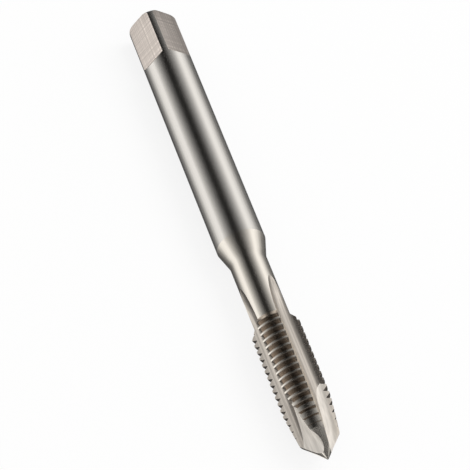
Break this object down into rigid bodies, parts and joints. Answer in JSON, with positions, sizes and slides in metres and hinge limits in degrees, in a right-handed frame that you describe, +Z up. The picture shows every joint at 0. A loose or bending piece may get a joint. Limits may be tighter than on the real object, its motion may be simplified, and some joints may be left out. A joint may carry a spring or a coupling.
{
  "type": "thread tap",
  "caption": "Machine tap with a plain round shank, square drive end, slimmer neck, straight fluted thread, spiral point and pointed tip.",
  "frame": {"origin": "middle of the tap's length, on the surface it lies on, under its axis", "axes": "+X along the tap's axis from the drive end to the tip, +Z up as the tap lies on its shank and one land of its thread, +Y to the left of +X"},
  "size_m": [0.09, 0.008, 0.008],
  "materials": {
    "tool_steel": "bright ground high-speed steel, fine lines round the shank and along the flutes"
  },
  "bodies": {
    "root": {"tap": "tool_steel"}
  },
  "joints": []
}
